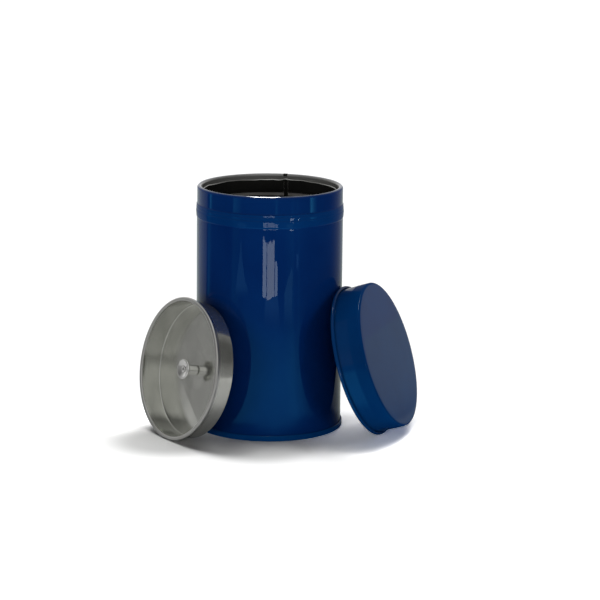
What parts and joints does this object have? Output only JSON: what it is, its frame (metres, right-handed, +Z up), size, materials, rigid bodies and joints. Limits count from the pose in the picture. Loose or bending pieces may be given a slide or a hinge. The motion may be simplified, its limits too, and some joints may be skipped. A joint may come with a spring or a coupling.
{
  "type": "tea tin",
  "caption": "Round open tea tin of blue-lacquered tinplate, its bare plug lid with a small knob and its slip-on cap leaning against the wall, for keeping tea or dry food.",
  "frame": {"origin": "on the tin's axis, on the floor it stands on", "axes": "+Z up along the tin's axis; -Y towards the picture's camera; +X to the right, the side on which the outer lid leans"},
  "size_m": [0.1637, 0.1131, 0.1422],
  "materials": {
    "blue_enamel": "gloss navy stoving lacquer on tinplate, black inside",
    "bare_tinplate": "satin bare tinplate",
    "knob_steel": "bright drawn steel"
  },
  "bodies": {
    "tin": {"body_wall": "blue_enamel", "base_end": "blue_enamel"},
    "outer_lid": {"outer_lid": "blue_enamel"},
    "inner_lid": {"inner_lid": "bare_tinplate", "knob_cap": "knob_steel", "knob_sleeve": "knob_steel", "knob_rivet": "knob_steel"}
  },
  "joints": [
    {"name": "outer_lid_pull", "type": "slide", "parent": "tin", "child": "outer_lid", "axis": [0.9009, -0.2997, 0.314], "range_m": [0, 0.06]},
    {"name": "inner_lid_pull", "type": "slide", "parent": "tin", "child": "inner_lid", "axis": [-0.8218, -0.5337, 0.1994], "range_m": [0, 0.06]}
  ]
}
